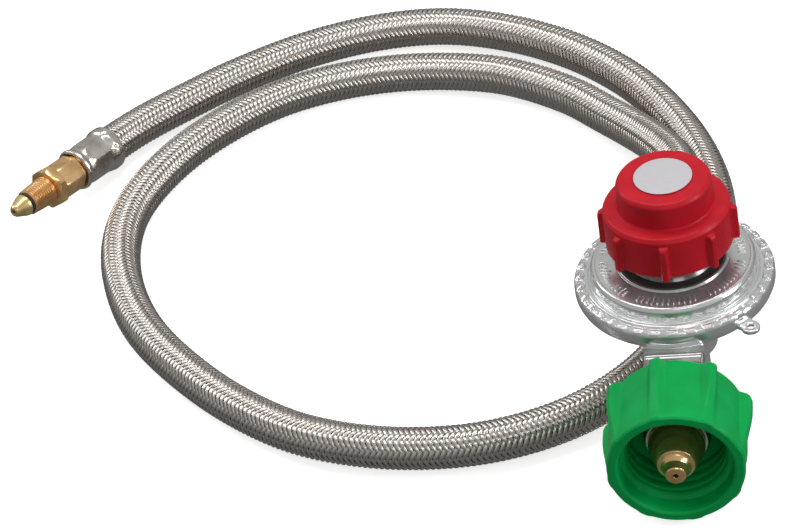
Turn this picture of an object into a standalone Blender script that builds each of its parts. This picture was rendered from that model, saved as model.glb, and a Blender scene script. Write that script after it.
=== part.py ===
"""Propane regulator with its coupling nut, braided hose and orifice fitting.

A dial knob stands over a round, crimped diaphragm housing. A green coupling nut
spins on the brass inlet nipple, and the hose leaves the housing at the back, lies on
the table in one and a half turns, and ends in a brass fitting with an orifice tip.

The origin is on the table, under the middle of the regulator. +Z is up along the knob,
the inlet points to -Y and the outlet to +Y. Lengths in the outlines are millimetres, and
the regulator's own outlines count from a point under the knob's axis, level with the
bottom of the hose's path before the nut's ribs lift the regulator off the table.
"""

import math

import bmesh
import bpy
from mathutils import Matrix, Vector

MM = 0.001
GAP = 0.3

STAND_Y = 5.85
STAND_Z = 1.2
PORT_Z = 26.0
HOUSING_R = 36.5
KNOB_TOP_Z = 94.0
KNOB_RIBS = 8
KNOB_RIB_PHASE = -92.0
BLOCK_HALF_WIDTH = 11.0
BLOCK_FACE_Y = 46.6
NIPPLE_TIP_Y = 82.7
NUT_BACK_Y = 51.2
NUT_FACE_Y = 79.5
NUT_BORE_R = 7.9
NUT_RIBS = 8
NUT_RIB_PHASE = 12.5
OUTLET_FACE_Y = 44.0
HOSE_D = 16.0
HOSE_START_Y = 71.3
HOSE_POINTS = 58
LEVER_PIVOT = (0.0, 8.0, 31.5)
HELPER_TURN = 2.3

# The hose's centre line on the table, in millimetres: out of the outlet, down to the
# table, round the loop, under the regulator, and outside the loop to the fitting.
HOSE_ROUTE = (
    (0, 77.15, 27.2), (-0.2, 89.9, 26.6), (-2, 103.1, 24.4), (-5.9, 116.3, 21.2),
    (-12.2, 130.2, 17), (-21.2, 146, 12.5), (-34.8, 163.8, 9.1), (-51.8, 181.3, 8),
    (-76.3, 196.3, 8), (-100.8, 202.9, 8), (-126.3, 204.3, 8), (-151.3, 200.3, 8),
    (-174.3, 190.8, 8), (-195.3, 174.3, 8), (-212.3, 153.3, 8), (-223.8, 128.3, 8),
    (-227.3, 103.3, 8), (-223.3, 76.3, 8), (-212.3, 48.4, 8), (-195.3, 23.9, 8),
    (-170.3, -2, 8), (-142.6, -21.4, 8), (-112.3, -31.4, 8), (-82.3, -33.2, 8),
    (-56.3, -27.6, 8), (-33.3, -15.2, 8), (-14.3, 4.3, 8), (-0.3, 31.4, 8),
    (8.2, 62.4, 8), (10.7, 93.3, 8), (6.2, 123.3, 8), (-5.3, 154.8, 8),
    (-23.3, 184.8, 8), (-47.3, 209.3, 8), (-75.3, 226.8, 8), (-105.3, 236.3, 8),
    (-135.3, 235.3, 8), (-165.3, 225.8, 8), (-192.3, 210.3, 8), (-212.5, 194.8, 8),
    (-227.0, 182.6, 8.0), (-236.1, 172.7, 8.4), (-241.5, 163.8, 9.7),
)
FAR_END_AHEAD = (-0.511, -0.851, 0.122)

COLOURS = {
    # name: colour, roughness, metallic
    "zinc": ((0.55, 0.56, 0.57), 0.30, 1.0),
    "brass": ((0.66, 0.43, 0.17), 0.28, 1.0),
    "steel": ((0.52, 0.51, 0.50), 0.32, 1.0),
    "aluminium": ((0.62, 0.63, 0.65), 0.35, 1.0),
    "red_plastic": ((0.58, 0.02, 0.03), 0.40, 0.0),
    "green_plastic": ((0.0, 0.38, 0.09), 0.42, 0.0),
    "black_plastic": ((0.02, 0.02, 0.02), 0.45, 0.0),
    "rubber": ((0.03, 0.03, 0.03), 0.70, 0.0),
    "label": ((0.62, 0.62, 0.63), 0.50, 0.0),
    "braid": ((0.45, 0.44, 0.42), 0.35, 1.0),
}


def clear_scene():
    for item in list(bpy.data.objects):
        bpy.data.objects.remove(item, do_unlink=True)


def make_materials():
    """Makes one material for each finish."""
    materials = {}
    for name, (colour, roughness, metallic) in COLOURS.items():
        material = bpy.data.materials.new(name)
        material.use_nodes = True
        shader = material.node_tree.nodes["Principled BSDF"]
        shader.inputs["Base Color"].default_value = (*colour, 1.0)
        shader.inputs["Roughness"].default_value = roughness
        shader.inputs["Metallic"].default_value = metallic
        materials[name] = material
    return materials


def make_axis(name, place, tilt=(0.0, 0.0, 0.0), parent=None):
    """Makes an empty whose local +Z is the axis of the pieces parented to it."""
    empty = bpy.data.objects.new(name, None)
    empty.location = Vector(place) * MM
    empty.rotation_euler = tilt
    empty.parent = parent
    bpy.context.collection.objects.link(empty)
    return empty


def finish_mesh(name, builder, finish, parent=None, smooth=35.0):
    """Turns a bmesh into a closed, smooth-shaded object that faces out."""
    bmesh.ops.recalc_face_normals(builder, faces=builder.faces)
    mesh = bpy.data.meshes.new(name)
    builder.to_mesh(mesh)
    builder.free()
    mesh.shade_smooth()
    mesh.set_sharp_from_angle(angle=math.radians(smooth))
    solid = bpy.data.objects.new(name, mesh)
    bpy.context.collection.objects.link(solid)
    if finish:
        mesh.materials.append(MATERIALS[finish])
    solid.parent = parent or REGULATOR
    return solid


def spin_outline(builder, outline, steps):
    """Spins a closed (radius, height) outline round Z into the bmesh."""
    corners = [builder.verts.new((r * MM, 0, h * MM)) for r, h in outline]
    sides = []
    for first, second in zip(corners, corners[1:] + corners[:1]):
        if first.co.x > 0 or second.co.x > 0:
            sides.append(builder.edges.new((first, second)))
    bmesh.ops.spin(
        builder, geom=corners + sides, cent=(0, 0, 0), axis=(0, 0, 1),
        angle=2 * math.pi, steps=steps, use_merge=True,
    )
    bmesh.ops.remove_doubles(builder, verts=builder.verts, dist=1e-7)


def turned(name, outline, finish, parent=None, steps=24):
    """A turned piece from its (radius, height) outline. Helpers, which have no finish,
    are turned a little so that none of their edges lies along an edge of the piece."""
    builder = bmesh.new()
    spin_outline(builder, outline, steps)
    if finish is None:
        turn = Matrix.Rotation(math.radians(HELPER_TURN), 3, 'Z')
        bmesh.ops.rotate(builder, matrix=turn, verts=builder.verts)
    return finish_mesh(name, builder, finish, parent)


def block(name, low, high, finish=None, parent=None, bevel=0.0):
    """A box from its two corners, with its edges rounded."""
    builder = bmesh.new()
    bmesh.ops.create_cube(builder, size=1.0)
    size = [(b - a) * MM for a, b in zip(low, high)]
    middle = [(a + b) / 2 * MM for a, b in zip(low, high)]
    bmesh.ops.scale(builder, vec=size, verts=builder.verts)
    bmesh.ops.translate(builder, vec=middle, verts=builder.verts)
    if bevel:
        bmesh.ops.bevel(
            builder, geom=builder.edges[:], offset=bevel * MM, segments=1,
            profile=0.5, affect='EDGES',
        )
    return finish_mesh(name, builder, finish, parent)


def prism(name, sides, across_flats, low, high, finish=None, parent=None, turn=0.0):
    """A prism along Z, such as a spanner hexagon."""
    corner_r = across_flats / 2 / math.cos(math.pi / sides)
    builder = bmesh.new()
    bmesh.ops.create_cone(
        builder, cap_ends=True, segments=sides, radius1=corner_r * MM,
        radius2=corner_r * MM, depth=(high - low) * MM,
    )
    bmesh.ops.rotate(
        builder, matrix=Matrix.Rotation(math.radians(turn), 3, 'Z'), verts=builder.verts
    )
    bmesh.ops.translate(builder, vec=(0, 0, (low + high) / 2 * MM), verts=builder.verts)
    return finish_mesh(name, builder, finish, parent)


def combine(solid, operation, *others):
    """Joins or cuts the solid with helper shapes, which stay hidden, in one step."""
    group = bpy.data.collections.new(f"{solid.name}_{operation.lower()}")
    for other in others:
        other.hide_render = True
        other.display_type = 'WIRE'
        group.objects.link(other)
    step = solid.modifiers.new(operation.title(), 'BOOLEAN')
    step.operation = operation
    step.operand_type = 'COLLECTION'
    step.collection = group


def coil(name, radius, wire_r, low, high, turns, finish, parent, per_turn):
    """A compression spring along Z, with closed coils at its ends."""
    curve = bpy.data.curves.new(name, 'CURVE')
    curve.dimensions = '3D'
    curve.bevel_depth = wire_r * MM
    curve.bevel_resolution = 0
    curve.use_fill_caps = True
    spline = curve.splines.new('POLY')
    count = int(turns * per_turn) + 1
    spline.points.add(count - 1)
    for index in range(count):
        part = index / (count - 1)
        angle = 2 * math.pi * turns * part
        height = low + wire_r + (high - low - 2 * wire_r) * part
        spot = (radius * math.cos(angle) * MM, radius * math.sin(angle) * MM, height * MM)
        spline.points[index].co = (*spot, 1.0)
    spring = bpy.data.objects.new(name, curve)
    bpy.context.collection.objects.link(spring)
    curve.materials.append(MATERIALS[finish])
    spring.parent = parent or REGULATOR
    return spring


def smooth_route(route, count):
    """Reads evenly spaced points from a smooth curve through the route's points."""
    stops = [Vector(stop) * MM for stop in route]
    stops = [2 * stops[0] - stops[1]] + stops + [2 * stops[-1] - stops[-2]]
    fine = []
    for before, start, end, after in zip(stops, stops[1:], stops[2:], stops[3:]):
        for index in range(12):
            t = index / 12
            pull = (end - before) / 2
            push = (after - start) / 2
            fine.append(
                start * (2 * t**3 - 3 * t**2 + 1) + pull * (t**3 - 2 * t**2 + t)
                + end * (3 * t**2 - 2 * t**3) + push * (t**3 - t**2)
            )
    fine.append(stops[-2])
    walked = [0.0]
    for first, second in zip(fine, fine[1:]):
        walked.append(walked[-1] + (second - first).length)
    points = []
    place = 0
    for index in range(count):
        target = walked[-1] * index / (count - 1)
        while place < len(fine) - 2 and walked[place + 1] < target:
            place += 1
        part = (target - walked[place]) / (walked[place + 1] - walked[place])
        points.append(fine[place].lerp(fine[place + 1], part))
    return points


# --- The housing -------------------------------------------------------------------


def tie_tab():
    """The small lug with a hole on the housing's lip."""
    angle = math.radians(-46.0)
    outline = [(-1.4, -4.4), (3.0, -4.3), (6.2, -2.4), (7.0, 0), (6.2, 2.4), (3.0, 4.3), (-1.4, 4.4)]
    builder = bmesh.new()
    corners = [builder.verts.new((x * MM, y * MM, 0)) for x, y in outline]
    face = builder.faces.new(corners)
    lifted = bmesh.ops.extrude_face_region(builder, geom=[face])["geom"]
    raised = [item for item in lifted if isinstance(item, bmesh.types.BMVert)]
    bmesh.ops.translate(builder, vec=(0, 0, 2.2 * MM), verts=raised)
    place = Matrix.Rotation(angle, 4, 'Z') @ Matrix.Translation((36.8 * MM, 0, 45.0 * MM))
    bmesh.ops.transform(builder, matrix=place, verts=builder.verts)
    lug = finish_mesh("tie_tab", builder, None)
    hole = turned("tie_hole", [(0, 40), (1.9, 40), (1.9, 52), (0, 52)], None, steps=12)
    hole.location = (39.6 * MM * math.cos(angle), 39.6 * MM * math.sin(angle), 0)
    return lug, hole


def body_casting(inlet, outlet):
    """The zinc body: bowl, rolled lip, inlet block, outlet boss and valve chest."""
    body = turned("body_casting", [
        (0, 36.6), (19, 36.6), (27, 38.8), (33, 42.6), (35.8, 45.0), (36.5, 47.0),
        (36.4, 50.4), (35.7, 51.9), (34.4, 52.4), (33.0, 52.3), (32.9, 51.6),
        (34.7, 51.5), (34.7, 47.4), (0, 47.4),
    ], "zinc", steps=36)
    lug, tie_hole = tie_tab()
    combine(
        body, 'UNION', lug,
        block("inlet_block", (-BLOCK_HALF_WIDTH, -BLOCK_FACE_Y, 17.4),
              (BLOCK_HALF_WIDTH, -9, 44.2), bevel=1.4),
        turned("valve_chest", [(0, 17.2), (12.2, 17.2), (13.2, 18.2), (13.2, 38.5), (0, 38.5)],
               None, steps=24),
        turned("outlet_boss", [(0, 4), (9.6, 4), (9.6, 42.8), (8.8, OUTLET_FACE_Y),
                               (0, OUTLET_FACE_Y)], None, outlet, 20),
        turned("inlet_boss", [(0, 20), (10.4, 20), (10.4, 50.2), (9.7, 50.9), (0, 50.9)],
               None, inlet, 20),
    )
    combine(
        body, 'DIFFERENCE', tie_hole,
        turned("chamber", [(0, 39.5), (29.5, 39.5), (31.0, 41.0), (31.2, 60), (0, 60)],
               None, steps=36),
        block("lever_pocket", (-7.03, -10.21, 20.43), (6.98, 11.17, 42)),
        turned("inlet_bore", [(0, 4), (4.2, 4), (4.2, 17.0), (7.1, 17.1), (7.1, 60), (0, 60)],
               None, inlet, 20),
        turned("outlet_bore", [(0, 4), (3.2, 4), (3.2, 27), (7.0, 27.1), (7.0, 60), (0, 60)],
               None, outlet, 20),
        turned("pin_holes", [(0, -8.4), (1.4, -8.4), (1.4, 8.4), (0, 8.4)], None,
               make_axis("pin_axis", LEVER_PIVOT, (0, math.pi / 2, 0), REGULATOR), 12),
    )


def bonnet():
    """The cover: clamped flange, raised face plate and the tower the knob screws on."""
    turned("bonnet", [
        (34.3, 49.0), (34.3, 51.2), (32.6, 51.2), (31.7, 52.9), (30.2, 51.4), (29.9, 56.3),
        (28.5, 57.5), (20.4, 58.0), (19.5, 58.7), (18.6, 58.1), (15.6, 58.3), (14.5, 59.4),
        (14.5, 79.0), (13.9, 79.6), (12.0, 79.6), (12.0, 57.4), (13.0, 56.4), (27.4, 55.6),
        (28.4, 54.6), (28.4, 49.0),
    ], "zinc", steps=36)


# --- The diaphragm and the valve ---------------------------------------------------


def diaphragm_group():
    turned("diaphragm", [
        (34.3, 47.7), (34.3, 48.7), (28.4, 48.7), (26.2, 48.3), (24.0, 46.9), (22.2, 46.5),
        (3.1, 46.5), (3.1, 45.5), (22.4, 45.5), (24.6, 45.9), (26.6, 47.2), (28.6, 47.7),
    ], "rubber", steps=30)
    turned("diaphragm_plate", [
        (3.1, 46.8), (19.6, 46.8), (21.0, 47.4), (21.3, 51.4), (20.5, 51.4), (20.2, 48.4),
        (19.4, 47.9), (3.1, 47.9),
    ], "aluminium", steps=24)
    turned("support_washer", [(3.1, 44.2), (9.0, 44.2), (9.0, 45.2), (3.1, 45.2)],
           "aluminium", steps=20)
    turned("diaphragm_stem", [
        (0, 28.9), (2.6, 28.9), (2.8, 29.2), (2.8, 30.2), (1.5, 30.4), (1.5, 32.6),
        (2.8, 32.8), (2.8, 48.2), (5.2, 48.2),
        (5.0, 49.4), (0, 49.4),
    ], "brass", steps=16)
    coil("main_spring", 9.3, 1.1, 48.2, 74.2, 6.5, "steel", None, 12)


def spring_button():
    """The seat on top of the main spring, which the knob's ceiling pushes down."""
    turned("spring_button", [
        (0, 70.5), (6.6, 70.5), (7.0, 71.0), (7.2, 74.5), (11.6, 74.6), (11.6, 77.0),
        (5.4, 77.6), (5.0, 78.2), (5.0, 90.2), (4.0, 91.2), (0, 91.2),
    ], "aluminium", steps=20)


def valve_lever():
    """The bent lever: a forked arm under the stem and a leg behind the plunger."""
    pivot_y, pivot_z = LEVER_PIVOT[1:]
    lever = block("valve_lever", (-3.6, -3.4, pivot_z - 0.7), (3.6, pivot_y + 1.9, pivot_z + 0.7),
                  "steel")
    cross = (0, math.pi / 2, 0)
    combine(
        lever, 'UNION',
        block("lever_leg", (-2.2, pivot_y - 0.6, 24.4), (2.2, pivot_y + 0.65, pivot_z)),
        turned("lever_barrel", [(0, -3.5), (2.0, -3.5), (2.0, 3.5), (0, 3.5)], None,
               make_axis("barrel_axis", LEVER_PIVOT, cross, REGULATOR), 16),
    )
    combine(
        lever, 'DIFFERENCE',
        block("fork_slot", (-1.95, -4.5, 29.0), (1.95, 2.1, 35.0)),
        turned("lever_pin_hole", [(0, -5), (1.3, -5), (1.3, 5), (0, 5)], None,
               make_axis("lever_pin_axis", LEVER_PIVOT, cross, REGULATOR), 12),
        block("leg_fork", (-1.2 - GAP, 6.9, 20.0), (1.2 + GAP, 9.2, 27.7)),
    )
    turned("lever_pin", [(0, -8.0), (1.0, -8.0), (1.0, 8.0), (0, 8.0)], "steel",
           make_axis("lever_pin_body", LEVER_PIVOT, (0, math.pi / 2, 0), REGULATOR), 16)


def valve_group(inlet):
    """Orifice insert, seat disc and plunger, from the inlet inwards."""
    turned("orifice_insert", [
        (1.4, 11.9), (2.1, 10.95), (2.6, 10.95), (3.4, 11.9), (3.9, 12.1), (3.9, 16.6),
        (1.4, 16.6),
    ], "brass", inlet, 20)
    turned("seat_disc", [(0, 8.5), (2.7, 8.5), (2.7, 10.3), (0, 10.3)], "rubber", inlet, 16)
    turned("valve_plunger", [
        (0, -10.4), (2.9, -10.4), (2.9, -9.2), (1.2, -9.1), (1.2, -7.0), (2.9, -6.9),
        (2.9, -3.8), (1.6, -3.4), (1.6, 3.7), (2.9, 4.1), (3.4, 7.4), (3.4, 9.6),
        (3.0, 9.6), (3.0, 8.2), (0, 8.2),
    ], "brass", inlet, 16)


# --- The inlet: nipple and coupling nut --------------------------------------------


def inlet_nipple(inlet):
    nipple = turned("inlet_nipple", [
        (3.4, 17.6), (6.8, 17.6), (6.8, 51.2), (7.4, 51.4), (7.4, 62.9),
        (8.6, 63.0), (8.6, 65.2), (10.2, 65.3), (10.2, 67.0), (7.0, 76.2),
        (6.6, 76.9), (5.2, 76.4), (3.9, 78.6), (3.75, 82.2), (3.4, NIPPLE_TIP_Y),
        (0.9, NIPPLE_TIP_Y), (0.9, 79.0), (3.4, 77.0),
    ], "brass", inlet, 24)
    combine(nipple, 'DIFFERENCE', turned("nipple_bore", [(0, 17), (3.4, 17), (3.4, 77), (0, 77)],
                                         None, inlet, 20))


def excess_flow_valve(inlet):
    """The poppet, its spring and its seat ring, which sit in the nipple's bore."""
    turned("poppet_retainer", [
        (1.6, 40.0), (3.1, 40.0), (3.1, 42.0), (1.6, 42.0),
    ], "brass", inlet, 16)
    coil("poppet_spring", 2.3, 0.35, 42.2, 49.0, 5, "steel", inlet, 8)
    turned("excess_flow_poppet", [
        (0, 46.0), (1.3, 46.0), (1.5, 50.6), (2.9, 50.8), (2.9, 52.4), (1.2, 54.2), (0, 54.4),
    ], "brass", inlet, 16)


def thermal_bushing(inlet):
    turned("thermal_bushing", [
        (7.7, 56.8), (11.6, 56.8), (11.8, 57.4), (11.8, 62.2), (11.4, 62.7), (7.7, 62.7),
    ], "black_plastic", inlet, 24)
    turned("bushing_ring", [
        (8.9, 63.0), (11.0, 63.0), (11.4, 63.4), (11.4, 64.6), (10.9, 64.9), (8.9, 64.9),
    ], "steel", inlet, 24)


def nut_rib(angle):
    """One grip rib: highest at the back and fading into the mouth's rim."""
    crest = [(26.4, 48.9), (27.5, 50.7), (27.5, 59.0), (25.5, 75.0), (24.6, 78.4)]
    builder = bmesh.new()
    rings = []
    for radius, height in crest:
        spots = [(20.5, -2.9), (radius - 1.0, -2.5), (radius, -1.5), (radius, 1.5),
                 (radius - 1.0, 2.5), (20.5, 2.9)]
        rings.append([builder.verts.new((x * MM, y * MM, height * MM)) for x, y in spots])
    for first, second in zip(rings, rings[1:]):
        for index in range(6):
            after = (index + 1) % 6
            builder.faces.new((first[index], first[after], second[after], second[index]))
    builder.faces.new(rings[0])
    builder.faces.new(rings[-1])
    bmesh.ops.rotate(builder, matrix=Matrix.Rotation(angle, 3, 'Z'), verts=builder.verts)
    return builder


def coupling_nut(inlet):
    nut = turned("coupling_nut", [
        (NUT_BORE_R, NUT_BACK_Y), (19.8, NUT_BACK_Y), (20.2, 47.6), (23.4, 47.2),
        (24.6, 48.4), (24.8, 51.0), (24.6, 66.0), (24.4, 78.4), (23.9, 79.3),
        (23.2, NUT_FACE_Y),
        (21.2, NUT_FACE_Y), (20.5, 79.1), (20.2, 78.2), (19.8, 73.2), (18.2, 72.4),
        (17.7, 71.4), (17.6, 57.2), (16.8, 56.4), (NUT_BORE_R, 56.4),
    ], "green_plastic", inlet, 32)
    ribs = []
    for index in range(NUT_RIBS):
        angle = math.radians(NUT_RIB_PHASE + 360.0 * index / NUT_RIBS)
        ribs.append(finish_mesh(f"nut_rib_{index + 1}", nut_rib(angle), None, inlet))
    combine(nut, 'UNION', *ribs)


# --- The knob ----------------------------------------------------------------------


def knob():
    cap = turned("knob", [
        (0, KNOB_TOP_Z), (16.0, KNOB_TOP_Z), (17.1, 92.8), (17.6, 84.0), (18.4, 83.1),
        (22.0, 83.0), (22.95, 81.9), (23.1, 67.0), (22.6, 66.4), (21.0, 66.4), (21.0, 80.6),
        (17.0, 80.6), (17.0, 68.4), (16.6, 68.0), (15.2, 68.0), (14.9, 68.4), (14.9, 91.5),
        (0, 91.5),
    ], "red_plastic", steps=36)
    ribs = []
    for index in range(KNOB_RIBS):
        rib = block(f"knob_rib_{index + 1}", (22.0, -1.5, 65.7), (25.2, 1.5, 80.3), bevel=0.8)
        rib.rotation_euler.z = math.radians(KNOB_RIB_PHASE + 360.0 * index / KNOB_RIBS)
        ribs.append(rib)
    combine(cap, 'UNION', *ribs)
    turned("knob_label", [
        (0, KNOB_TOP_Z + GAP), (10.5, KNOB_TOP_Z + GAP), (10.5, KNOB_TOP_Z + GAP + 0.2),
        (0, KNOB_TOP_Z + GAP + 0.2),
    ], "label", steps=32)


# --- The hose and its ends ---------------------------------------------------------


def ferrule_outline(length):
    """A crimped sleeve: wide over the hose, waisted, with a rolled lip at the nipple."""
    return [
        (8.3, 0), (9.2, 0.0), (9.5, 0.8), (9.5, 4.2), (8.4, 7.0), (8.2, length - 5.0),
        (7.7, length - 3.0), (8.1, length - 2.4), (8.9, length - 1.6), (8.8, length - 0.5),
        (8.0, length), (6.0, length), (6.0, length - 2.0), (6.9, length - 3.2), (6.9, 4.0),
        (8.3, 2.5),
    ]


def hose_end(name, axis, length):
    """The ferrule and the end of the rubber tube that it grips, along the axis."""
    turned(f"{name}_ferrule", ferrule_outline(length), "steel", axis, 24)
    turned(f"{name}_tube_end", [
        (4.6, 0.4), (7.9, 0.4), (7.9, 2.2), (6.6, 3.6), (6.6, length - 3.8), (4.6, length - 3.8),
    ], "rubber", axis, 16)


def barbed_nipple(name, axis, length, hexagon, beyond, socket_r):
    """The brass insert: barbs in the hose, a spanner hexagon, and its far end's outline."""
    barbs = [(2.4, 0.8), (3.6, 0.8)]
    for step in range(3):
        start = 0.8 + 3.6 * step
        barbs += [(4.3, start + 2.2), (3.7, start + 2.4)]
    outline = barbs + [(3.7, length - 3.6), (5.4, length - 3.2), (5.4, length + GAP)]
    nipple = turned(name, outline + beyond, "brass", axis, 16)
    across, low, high = hexagon
    combine(nipple, 'UNION', prism(f"{name}_hexagon", 6, across, low, high, None, axis))
    bore = [(0, -5), (2.4, -5), (2.4, high - 6.2), (socket_r, high - 6.1),
            (socket_r + 0.3, high + 30), (0, high + 30)]
    combine(nipple, 'DIFFERENCE', turned(f"{name}_bore", bore, None, axis, 18))


def outlet_end():
    """The regulator's end of the hose: its axis runs from the hose into the outlet."""
    place = (0, HOSE_START_Y - GAP, PORT_Z)
    axis = make_axis("outlet_end_axis", place, (math.pi / 2, 0, 0), REGULATOR)
    hose_end("outlet", axis, 19.4)
    barbed_nipple("outlet_nipple", axis, 19.4, (16.0, 19.8, 26.5),
                  [(6.8, 26.9), (6.6, 42.6), (6.0, 43.2), (2.4, 43.2)], 2.6)


def far_end():
    """The free end: ferrule, nipple, adapter with its thread, seal ring and tip."""
    ahead = Vector(FAR_END_AHEAD).normalized()
    start = Vector(HOSE_ROUTE[-1]) + ahead * GAP
    axis = make_axis("far_end_axis", start, ahead.to_track_quat('Z', 'X').to_euler())
    hose_end("far", axis, 22.4)
    barbed_nipple("far_nipple", axis, 22.4, (13.6, 22.8, 34.3), [(6.2, 34.3), (2.4, 34.3)], 4.6)

    adapter = turned("orifice_adapter", [
        (2.2, 28.9), (4.2, 28.9), (4.4, 34.3), (4.4, 35.1), (6.0, 38.9), (6.0, 39.6),
        (5.3, 50.7), (4.9, 51.2), (2.2, 51.2),
    ], "brass", axis, 20)
    combine(adapter, 'UNION', prism("adapter_hexagon", 6, 15.6, 34.6, 39.4, None, axis))
    bore = [(0, 20), (2.1, 20), (2.1, 45.6), (2.75, 45.7), (2.75, 60), (0, 60)]
    combine(adapter, 'DIFFERENCE', turned("adapter_bore", bore, None, axis, 18))
    turned("tip_seal_ring", [
        (2.95, 51.5), (4.5, 51.5), (4.75, 51.75), (4.75, 52.05), (4.5, 52.3), (2.95, 52.3),
    ], "rubber", axis, 16)
    turned("orifice_tip", [
        (0.9, 46.2), (2.4, 46.2), (2.4, 52.6), (4.4, 52.6), (4.6, 52.9), (4.5, 53.6),
        (2.5, 58.8), (1.7, 59.6), (0.5, 59.6), (0.5, 56.0), (0.9, 55.5),
    ], "brass", axis, 18)


def hose():
    """The braided hose, as a plain tube of its outside diameter."""
    curve = bpy.data.curves.new("hose", 'CURVE')
    curve.dimensions = '3D'
    curve.bevel_depth = HOSE_D / 2 * MM
    curve.bevel_resolution = 2
    curve.use_fill_caps = True
    spline = curve.splines.new('POLY')
    points = smooth_route(HOSE_ROUTE, HOSE_POINTS)
    spline.points.add(len(points) - 1)
    for spot, point in zip(points, spline.points):
        point.co = (*spot, 1.0)
    tube = bpy.data.objects.new("hose", curve)
    bpy.context.collection.objects.link(tube)
    curve.materials.append(MATERIALS["braid"])


clear_scene()
MATERIALS = make_materials()
REGULATOR = make_axis("regulator", (0, STAND_Y, STAND_Z))
INLET = make_axis("inlet_axis", (0, 0, PORT_Z), (math.pi / 2, 0, 0), REGULATOR)
OUTLET = make_axis("outlet_axis", (0, 0, PORT_Z), (-math.pi / 2, 0, 0), REGULATOR)
body_casting(INLET, OUTLET)
bonnet()
diaphragm_group()
spring_button()
valve_lever()
valve_group(INLET)
inlet_nipple(INLET)
excess_flow_valve(INLET)
thermal_bushing(INLET)
coupling_nut(INLET)
knob()
outlet_end()
far_end()
hose()
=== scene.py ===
"""The looks of the propane regulator hose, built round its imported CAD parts.

Outlines are (radius, height) pairs in millimetres along each part's own axis, as in the
CAD: the knob's axis for the housing, the inlet's axis, and the axis of each hose end.
"""

import math

import bmesh
import bpy
import numpy as np
from mathutils import Matrix, Vector


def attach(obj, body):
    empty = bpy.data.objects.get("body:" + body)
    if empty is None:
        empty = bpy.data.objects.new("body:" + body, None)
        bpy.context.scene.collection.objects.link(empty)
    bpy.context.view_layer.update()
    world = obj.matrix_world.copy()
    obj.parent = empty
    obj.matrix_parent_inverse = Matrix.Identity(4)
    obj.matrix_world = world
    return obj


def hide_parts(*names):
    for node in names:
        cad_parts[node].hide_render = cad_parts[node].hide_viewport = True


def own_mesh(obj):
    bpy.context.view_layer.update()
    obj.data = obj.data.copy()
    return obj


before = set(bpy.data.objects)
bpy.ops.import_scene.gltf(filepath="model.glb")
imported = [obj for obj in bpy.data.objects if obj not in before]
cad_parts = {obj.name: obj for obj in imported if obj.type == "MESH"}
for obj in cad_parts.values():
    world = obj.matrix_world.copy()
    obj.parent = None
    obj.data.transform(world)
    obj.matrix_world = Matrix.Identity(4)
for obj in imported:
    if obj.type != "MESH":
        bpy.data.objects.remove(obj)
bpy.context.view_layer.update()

MM = 0.001
BODY = "regulator_body"
PORT_Z = 26.0
HOSE_D = 16.0
HOSE_START_Y = 71.3

# The hose's route from part.py, in millimetres.
HOSE_ROUTE = (
    (0, 77.15, 27.2), (-0.2, 89.9, 26.6), (-2, 103.1, 24.4), (-5.9, 116.3, 21.2),
    (-12.2, 130.2, 17), (-21.2, 146, 12.5), (-34.8, 163.8, 9.1), (-51.8, 181.3, 8),
    (-76.3, 196.3, 8), (-100.8, 202.9, 8), (-126.3, 204.3, 8), (-151.3, 200.3, 8),
    (-174.3, 190.8, 8), (-195.3, 174.3, 8), (-212.3, 153.3, 8), (-223.8, 128.3, 8),
    (-227.3, 103.3, 8), (-223.3, 76.3, 8), (-212.3, 48.4, 8), (-195.3, 23.9, 8),
    (-170.3, -2, 8), (-142.6, -21.4, 8), (-112.3, -31.4, 8), (-82.3, -33.2, 8),
    (-56.3, -27.6, 8), (-33.3, -15.2, 8), (-14.3, 4.3, 8), (-0.3, 31.4, 8),
    (8.2, 62.4, 8), (10.7, 93.3, 8), (6.2, 123.3, 8), (-5.3, 154.8, 8),
    (-23.3, 184.8, 8), (-47.3, 209.3, 8), (-75.3, 226.8, 8), (-105.3, 236.3, 8),
    (-135.3, 235.3, 8), (-165.3, 225.8, 8), (-192.3, 210.3, 8), (-212.5, 194.8, 8),
    (-227.0, 182.6, 8.0), (-236.1, 172.7, 8.4), (-241.5, 163.8, 9.7),
)
FAR_END_AHEAD = (-0.511, -0.851, 0.122)


# --- Places ------------------------------------------------------------------------


def place(x, y, z):
    return Matrix.Translation(Vector((x, y, z)) * MM)


REGULATOR = place(0, 5.85, 1.2)
INLET = REGULATOR @ place(0, 0, PORT_Z) @ Matrix.Rotation(math.pi / 2, 4, 'X')
OUTLET_END = (
    REGULATOR @ place(0, HOSE_START_Y - 0.3, PORT_Z) @ Matrix.Rotation(math.pi / 2, 4, 'X')
)
AHEAD = Vector(FAR_END_AHEAD).normalized()
FAR_END = (
    Matrix.Translation((Vector(HOSE_ROUTE[-1]) + AHEAD * 0.3) * MM)
    @ AHEAD.to_track_quat('Z', 'X').to_matrix().to_4x4()
)


# --- Camera, floor and light -------------------------------------------------------


def make_camera():
    """Looks down at the regulator's front, as a seller's photograph does."""
    data = bpy.data.cameras.new("camera")
    data.lens = 157.5
    data.sensor_width = 36.0
    data.clip_end = 20.0
    camera = bpy.data.objects.new("camera", data)
    right = Vector((0.98666, 0.08124, -0.14107))
    up = Vector((0.05959, 0.62618, 0.77739))
    back = Vector((0.15149, -0.77543, 0.61299))
    turn = Matrix((right, up, back)).transposed().to_4x4()
    camera.matrix_world = place(94.06, -981.84, 843.24) @ turn
    bpy.context.collection.objects.link(camera)
    bpy.context.scene.camera = camera


def make_area(name, spot, target, size, power, colour=(1, 1, 1)):
    data = bpy.data.lights.new(name, 'AREA')
    data.shape = 'RECTANGLE'
    data.size, data.size_y = size
    data.energy = power
    data.color = colour
    lamp = bpy.data.objects.new(name, data)
    lamp.location = spot
    aim = Vector(target) - Vector(spot)
    lamp.rotation_euler = aim.to_track_quat('-Z', 'Y').to_euler()
    bpy.context.collection.objects.link(lamp)


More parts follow.
